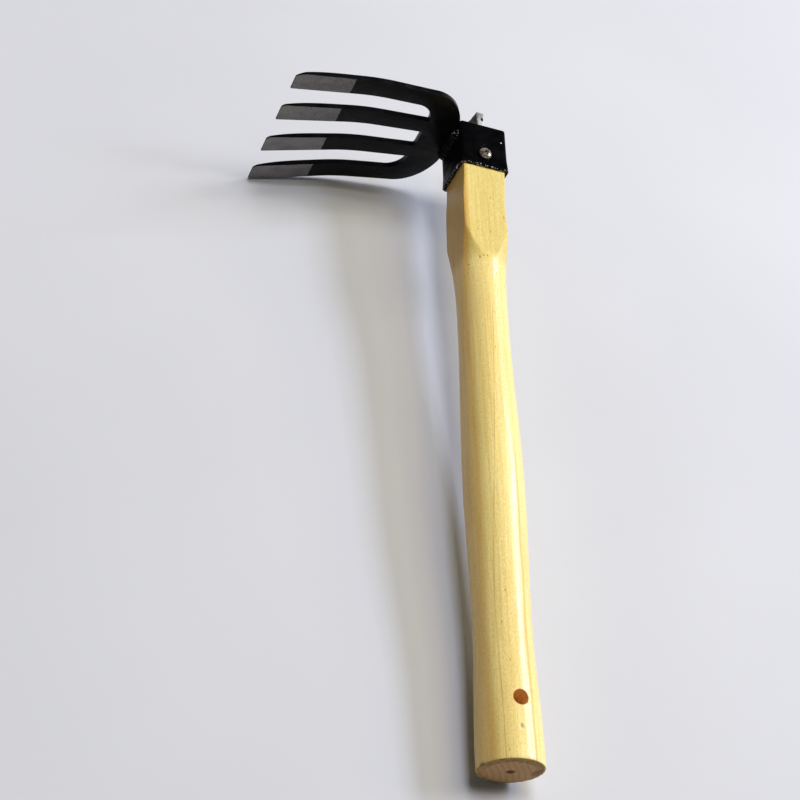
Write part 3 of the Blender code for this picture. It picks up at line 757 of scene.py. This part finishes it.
def make_socket():
    top = SOCKET_HEIGHT
    rings = [square_ring(SOCKET_INNER, INNER_CORNER, top - 0.012),
             square_ring(SOCKET_INNER, INNER_CORNER, top - 0.0004),
             square_ring(SOCKET_INNER + 0.0003, 0.0008, top - 0.00008, 0, 0.0001),
             square_ring(SOCKET_OUTER - 0.0005, 0.0018, top, 0, 0.00015),
             square_ring(SOCKET_OUTER - 0.00012, 0.0021, top - 0.0002, 0, 0.0001)]
    for i in range(13):
        y = blend(top - 0.0006, 0.0011, i / 12)
        flare = RIM_FLARE * ease((FLARE_OVER - y) / FLARE_OVER)
        rings.append(square_ring(SOCKET_OUTER, OUTER_CORNER, y, flare))
    rings += [square_ring(SOCKET_OUTER + 0.00008, OUTER_CORNER, 0.0005, RIM_FLARE, 0.0002),
              square_ring(SOCKET_OUTER - 0.00012, 0.0021, 0.0001, RIM_FLARE, 0.0003),
              square_ring(SOCKET_OUTER - 0.0007, 0.0017, -0.00005, 0.0006, 0.0004),
              square_ring(SOCKET_INNER + 0.0002, 0.0008, 0.0001, 0.0002, 0.0003),
              square_ring(SOCKET_INNER, INNER_CORNER, 0.0006, 0.0, 0.0001),
              square_ring(SOCKET_INNER, INNER_CORNER, 0.012)]
    socket = loft("socket_sleeve", rings, closed=True)
    shade_round(socket, 50)
    paint = black_paint("socket_black", 0.26, 0.00002, 0.03, streaks=0.00010)
    chips = paint.noise((700, 700, 700), 2.0, 0.6, offset=(8, 2, 6))
    rim = paint.span(paint.axes()["Y"], 0.0016, 0.0002)
    worn = paint.math("MULTIPLY", paint.span(chips, 0.55, 0.62), rim)
    worn = paint.math("MAXIMUM", worn, paint.spot(NICK, (0.0006, 0.0006, 0.002), 0.4))
    paint.set(Base_Color=paint.mix(worn, paint.source("Base Color"), BARE_STEEL))
    finish_piece(socket, "socket", paint.material)


# Fork head --------------------------------------------------------------------------------

PLATE = 0.0036
ROOT_Y = 0.0272                 # height of the inner face where the palm meets the socket
PALM = math.tan(math.radians(7.9))
TINE = math.tan(math.radians(16.3))
BEND_START, BEND_END = -0.070, -0.092
TIP_X = -0.1363
TIP_THICKNESS = 0.0008
THIN_OVER = 0.038               # the tines are hammered thin over this length
TIP_BULGE = 0.35                # 0 for straight cut corners at the tips, 1 for round ones
SHOULDER_X = -0.044
SHOULDER_Z = 0.0085             # half-width of the palm's straight back edge
SLOT_END_X = -0.0386
SLOT_ROUND = 0.0125             # length of the round end of the side slots
GROUND_X = -0.0945              # faces past this may be ground bare
SLOPE_STEP = 0.0005

# Distance of each edge from the middle, at the shoulder and at the tip
OUTER_EDGE = (0.0422, 0.0502)
SIDE_SLOT_OUTER = (0.0302, 0.0370)
SIDE_SLOT_INNER = (0.0176, 0.0216)
MIDDLE_SLOT = (0.0069, 0.0085)


def face_height(x):
    """Height of the fork's inner face: palm line, bend, then tine line."""
    y = ROOT_Y + (x + SOCKET_WIDTH / 2) * PALM
    past = min(max(BEND_START - x, 0.0), BEND_START - BEND_END)
    y -= (TINE - PALM) * past ** 2 / (2 * (BEND_START - BEND_END))
    return y - (TINE - PALM) * max(BEND_END - x, 0.0)


def edge_at(edge, x):
    """Distance of an edge from the middle at a point along the fork."""
    return blend(edge[0], edge[1], (x - SHOULDER_X) / (TIP_X - SHOULDER_X))


def arc(centre, radii, steps):
    """Quarter of an ellipse in the plan, from +X round to +Z."""
    angles = [math.pi / 2 * i / steps for i in range(steps + 1)]
    return [(centre[0] + radii[0] * math.cos(a), centre[1] + radii[1] * math.sin(a)) for a in angles]


def tine_tip(outer, inner, outer_cut, inner_cut):
    """Square tip with its corners taken off: (length along the tine, width across) of each."""
    points = []
    z_out, z_in = edge_at(outer, TIP_X), edge_at(inner, TIP_X)
    straight = 1 - TIP_BULGE
    long, wide = outer_cut
    for i in range(5):
        a = math.pi / 2 * i / 4
        x = TIP_X + long * ((1 - i / 4) * straight + TIP_BULGE * (1 - math.sin(a)))
        z = z_out - wide * ((i / 4) * straight + TIP_BULGE * (1 - math.cos(a)))
        points.append((x, z + edge_at(outer, x) - z_out))
    long, wide = inner_cut
    for i in range(5):
        a = math.pi / 2 * i / 4
        x = TIP_X + long * ((i / 4) * straight + TIP_BULGE * (1 - math.cos(a)))
        z = z_in + wide * ((1 - i / 4) * straight + TIP_BULGE * (1 - math.sin(a)))
        points.append((x, z + edge_at(inner, x) - z_in))
    return points


def half_outline(cuts, slot_corner):
    """Plan of one half of the fork, from the palm's back edge to the middle slot."""
    back_x = -SOCKET_WIDTH / 2 - 2 * GAP
    shoulder = arc((SHOULDER_X, SHOULDER_Z), (back_x - SHOULDER_X, OUTER_EDGE[0] - SHOULDER_Z), 28)
    round_x = SLOT_END_X - SLOT_ROUND
    inner_z = edge_at(SIDE_SLOT_INNER, SLOT_END_X)
    side = arc((round_x, inner_z), (SLOT_ROUND, edge_at(SIDE_SLOT_OUTER, round_x) - inner_z), 20)
    middle_z = edge_at(MIDDLE_SLOT, SLOT_END_X) - slot_corner
    middle = arc((SLOT_END_X - slot_corner, middle_z), (slot_corner, slot_corner), 6)
    points = shoulder + tine_tip(OUTER_EDGE, SIDE_SLOT_OUTER, *cuts[0]) + side[::-1]
    return points + tine_tip(SIDE_SLOT_INNER, MIDDLE_SLOT, *cuts[1]) + middle[::-1]


def make_fork():
    # what each tip's outer and inner corners have lost: (length, width), outermost tine first
    small = (0.0004, 0.0003)
    upper = half_outline((((0.0062, 0.0024), small), ((0.0022, 0.0014), small)), 0.0007)
    lower = half_outline((((0.0026, 0.0018), (0.0024, 0.0016)), (small, (0.0022, 0.0014))), 0.0014)
    points = upper + [(x, -z) for x, z in reversed(lower)]
    bm = bmesh.new()
    bm.faces.new([bm.verts.new((x, 0.0, z)) for x, z in points])
    cuts = [blend(BEND_START + 0.004, TIP_X + 0.0004, i / 40) for i in range(41)]
    for x in cuts + [GROUND_X]:
        everything = bm.verts[:] + bm.edges[:] + bm.faces[:]
        bmesh.ops.bisect_plane(bm, geom=everything, plane_co=(x, 0, 0), plane_no=(1, 0, 0))
    flat = bm.faces[:]
    grown = bmesh.ops.extrude_face_region(bm, geom=flat, use_keep_orig=True)["geom"]
    back = {item for item in grown if isinstance(item, bmesh.types.BMVert)}
    for face in flat:
        face.material_index = 1 if face.calc_center_median().x < GROUND_X else 0
    for vert in bm.verts:
        x = vert.co.x
        slope = (face_height(x + SLOPE_STEP) - face_height(x - SLOPE_STEP)) / (2 * SLOPE_STEP)
        normal = Vector((-slope, 1.0, 0.0)).normalized()
        left = min(1.0, (x - TIP_X) / THIN_OVER)
        vert.co.y = face_height(x)
        if vert in back:
            vert.co += normal * blend(PLATE, TIP_THICKNESS, (1 - left) ** 3)
    fork = from_bmesh("fork_plate", bm)
    bevel(fork, 0.00028, 3, 40)
    shade_round(fork, 40)
    fork_paint = black_paint("fork_black", 0.30, 0.00003)
    finish_piece(fork, "fork_head", fork_paint.material, ground_tip())


# Weld beads -------------------------------------------------------------------------------

BEAD_HALF_LENGTH = 0.0150
BEAD_RIPPLES = 9
INNER_BEAD_LEG, OUTER_BEAD_LEG = 0.0046, 0.0026
# white specks on the welds are painted highlights
PAINTED_GLINT = (0.93, 0.92, 0.90)


def make_bead(name, node, leg, corner_y, up, material):
    """Lumpy fillet in the corner between the socket's side and one face of the palm."""
    corner_x = -SOCKET_WIDTH / 2 - GAP
    steps = 110
    rings = []
    for i in range(steps + 1):
        t = i / steps
        z = blend(-BEAD_HALF_LENGTH, BEAD_HALF_LENGTH, t)
        ripple = abs(math.sin(math.pi * BEAD_RIPPLES * t + 0.6 * wobble(0, up, z, 0.006)))
        end = math.sqrt(min(1.0, 0.05 + 6 * min(t, 1 - t)))
        size = leg * end * (0.80 + 0.14 * ripple + 0.16 * wobble(up, 0, z, 0.004))
        ring = [(corner_x, corner_y, z)]
        for j in range(15):
            angle = math.pi / 2 * j / 14
            lump = 1 + 0.10 * wobble(math.cos(angle) * 0.004, math.sin(angle) * 0.004, z, 0.0016)
            bulge = (1 - 0.16 * math.sin(2 * angle)) * lump
            x = -size * bulge * math.cos(angle)
            ring.append((corner_x + x, corner_y + up * size * bulge * math.sin(angle) + x * PALM, z))
        rings.append(ring)
    bead = loft(name, rings)
    shade_round(bead, 60)
    finish_piece(bead, node, material)


def make_beads():
    paint = black_paint("weld_black", 0.28, 0.00004, 0.06, lumps=0.0006)
    # painted highlights: small white glints towards the welds' +Z ends
    glint_noise = paint.span(paint.noise((1100, 1100, 1100), 2.0), 0.63, 0.67)
    glints = paint.math("MULTIPLY", glint_noise, paint.span(paint.axes()["Z"], 0.0095, 0.0120))
    paint.set(Base_Color=paint.mix(glints, paint.source("Base Color"), PAINTED_GLINT))
    back_y = ROOT_Y + PLATE * math.sqrt(1 + PALM ** 2)
    make_bead("weld_inner", "weld_bead_inner", INNER_BEAD_LEG, ROOT_Y - 2 * GAP, -1, paint.material)
    make_bead("weld_outer", "weld_bead_outer", OUTER_BEAD_LEG, back_y + 2 * GAP, 1, paint.material)


# Socket screw -----------------------------------------------------------------------------

HEAD_RADIUS, HEAD_HEIGHT, HEAD_RIM = 0.0041, 0.0026, 0.0006
HEAD_TOP_SHARE = 0.30           # radius of the head's flat top, as a share of its own
SHANK_RADIUS = 0.0019
SHANK_POINT = ((0.0003, -0.018), (SHANK_RADIUS, -0.014), (SHANK_RADIUS, 0.0))
RECESS_TURN = 25                # degrees that the cross is turned by
RECESS = ((-0.0016, 0.0010, 0.00030), (0.0008, 0.0026, 0.00062))    # (height, half-length, half-width)


def recess_cutter(name, degrees, top):
    """One bar of the cross recess, narrower at its bottom."""
    turn = math.radians(degrees)
    rings = []
    for height, long, wide in RECESS:
        corners = ((long, wide), (-long, wide), (-long, -wide), (long, -wide))
        rings.append([(u * math.cos(turn) - v * math.sin(turn),
                       SCREW_Y + u * math.sin(turn) + v * math.cos(turn), top + height)
                      for u, v in corners])
    return loft(name, rings)


def make_screw():
    seat = SOCKET_WIDTH / 2 + GAP
    profile = list(SHANK_POINT) + [(HEAD_RADIUS - 0.00015, 0.0), (HEAD_RADIUS, 0.00012),
                                   (HEAD_RADIUS, HEAD_RIM)]
    for i in range(1, 14):
        angle = math.pi / 2 * i / 14
        share = HEAD_TOP_SHARE + (1 - HEAD_TOP_SHARE) * math.cos(angle) ** 0.9
        profile.append((HEAD_RADIUS * share, HEAD_RIM + (HEAD_HEIGHT - HEAD_RIM) * math.sin(angle)))
    profile.append((0.0006, HEAD_HEIGHT))
    angles = [2 * math.pi * i / 64 for i in range(64)]
    rings = [[(reach * math.cos(a), SCREW_Y + reach * math.sin(a), seat + along) for a in angles]
             for reach, along in profile]
    screw = loft("screw_zinc", rings)
    cutters = [recess_cutter("recess_cutter_%d" % k, RECESS_TURN + 90 * k, seat + HEAD_HEIGHT)
               for k in range(2)]
    subtract(screw, cutters)
    shade_round(screw, 40)
    finish_piece(screw, "socket_screw", zinc_plate())


# Studio -----------------------------------------------------------------------------------

HANDLE_MIDDLE = -0.20
LIGHT_REACH = 2.8               # from the handle's axis to each light
FLOOR_RADIUS = 2.4              # of the flat part
SWEEP_RADIUS = 0.9              # of the curve up into the backdrop
BACKDROP_HEIGHT = 1.5
PAPER, PAPER_PALE = (0.50, 0.50, 0.52), (0.52, 0.52, 0.54)
WORLD_COLOUR, WORLD_STRENGTH = (1.0, 0.98, 0.96, 1.0), 0.03

# The camera, in the tool's axes
CAMERA_PLACE = (-0.34907, -0.68473, 0.71601)
CAMERA_FORWARD = (0.31739, 0.54712, -0.77455)
CAMERA_UP = (-0.18464, 0.83680, 0.51543)
CAMERA_LENS, CAMERA_SENSOR = 73.33, 36.0    # in millimetres


def make_floor():
    """Pale floor that sweeps up into a low round backdrop."""
    profile = [(blend(0.05, FLOOR_RADIUS, i / 24), 0.0) for i in range(25)]
    for i in range(1, 17):
        angle = math.pi / 2 * i / 16
        profile.append((FLOOR_RADIUS + SWEEP_RADIUS * math.sin(angle), SWEEP_RADIUS * (1 - math.cos(angle))))
    profile.append((FLOOR_RADIUS + SWEEP_RADIUS, BACKDROP_HEIGHT))
    points, faces, count = [], [], 96
    for radius, height in profile:
        points += [(radius * math.cos(2 * math.pi * i / count), radius * math.sin(2 * math.pi * i / count),
                    height) for i in range(count)]
    for k in range(len(profile) - 1):
        for i in range(count):
            j = (i + 1) % count
            faces.append((k * count + j, k * count + i, (k + 1) * count + i, (k + 1) * count + j))
    faces.append(tuple(range(count)))
    mesh = bpy.data.meshes.new("studio_floor")
    mesh.from_pydata(points, [], faces)
    mesh.shade_smooth()
    floor = bpy.data.objects.new("studio_floor", mesh)
    scene.collection.objects.link(floor)
    paint = Paint("pale_paper", Roughness=0.75)
    cloud = paint.noise((3, 3, 3), 3.0)
    colour = paint.mix(paint.span(cloud, 0.35, 0.65), PAPER, PAPER_PALE)
    paint.set(Base_Color=colour)
    paint.shader.inputs["Specular IOR Level"].default_value = 0.2
    mesh.materials.append(paint.material)


def panel(name, angle, along, size, power, colour, shiny=True):
    """Soft rectangular light on a circle round the handle, which it faces.

    The angle is from straight above the handle towards the side away from the tines; the light
    stands that far along the handle from its middle, and its second side runs that way too. A
    light that is not shiny leaves no highlight on the varnish and the paint.
    """
    aim = Vector((0.0, HANDLE_MIDDLE, 0.0))
    lean = math.radians(angle)
    place = Vector((LIGHT_REACH * math.sin(lean), HANDLE_MIDDLE + along, LIGHT_REACH * math.cos(lean)))
    data = bpy.data.lights.new(name, "AREA")
    data.shape = "RECTANGLE"
    data.size, data.size_y = size
    data.energy = power
    data.color = colour
    light = bpy.data.objects.new(name, data)
    scene.collection.objects.link(light)
    back = (place - aim).normalized()
    side = Vector((0, 1, 0)).cross(back).normalized()
    turn = Matrix((side, back.cross(side), back)).transposed().to_4x4()
    light.matrix_world = TOOL @ Matrix.Translation(place) @ turn
    light.visible_camera = False
    light.visible_glossy = shiny


def make_studio():
    world = bpy.data.worlds.new("studio")
    world.use_nodes = True
    background = world.node_tree.nodes["Background"]
    background.inputs["Color"].default_value = WORLD_COLOUR
    background.inputs["Strength"].default_value = WORLD_STRENGTH
    scene.world = world
    panel("overhead", -4, 0.8, (0.9, 1.2), 54.0, (0.88, 0.91, 1.0), False)
    panel("overhead_warm", 15, 0.6, (0.8, 1.2), 23.0, (1.0, 0.86, 0.55), False)
    panel("side_warm", 30, 0.8, (0.6, 1.1), 13.0, (1.0, 0.93, 0.45), False)
    panel("window", 49, 1.0, (0.56, 1.55), 73.0, (0.70, 0.77, 1.0))
    panel("side", 62, 0.6, (0.6, 1.2), 14.5, (1.0, 0.94, 0.72), False)


def make_camera():
    data = bpy.data.cameras.new("camera")
    data.lens = CAMERA_LENS
    data.sensor_width = CAMERA_SENSOR
    data.clip_start, data.clip_end = 0.01, 50.0
    camera = bpy.data.objects.new("camera", data)
    scene.collection.objects.link(camera)
    forward = Vector(CAMERA_FORWARD).normalized()
    side = forward.cross(Vector(CAMERA_UP)).normalized()
    turn = Matrix((side, side.cross(forward), -forward)).transposed().to_4x4()
    camera.matrix_world = TOOL @ Matrix.Translation(CAMERA_PLACE) @ turn
    scene.camera = camera


make_handle()
make_wedge()
make_socket()
make_fork()
make_beads()
make_screw()
make_floor()
make_studio()
make_camera()
scene.view_settings.view_transform = "Standard"
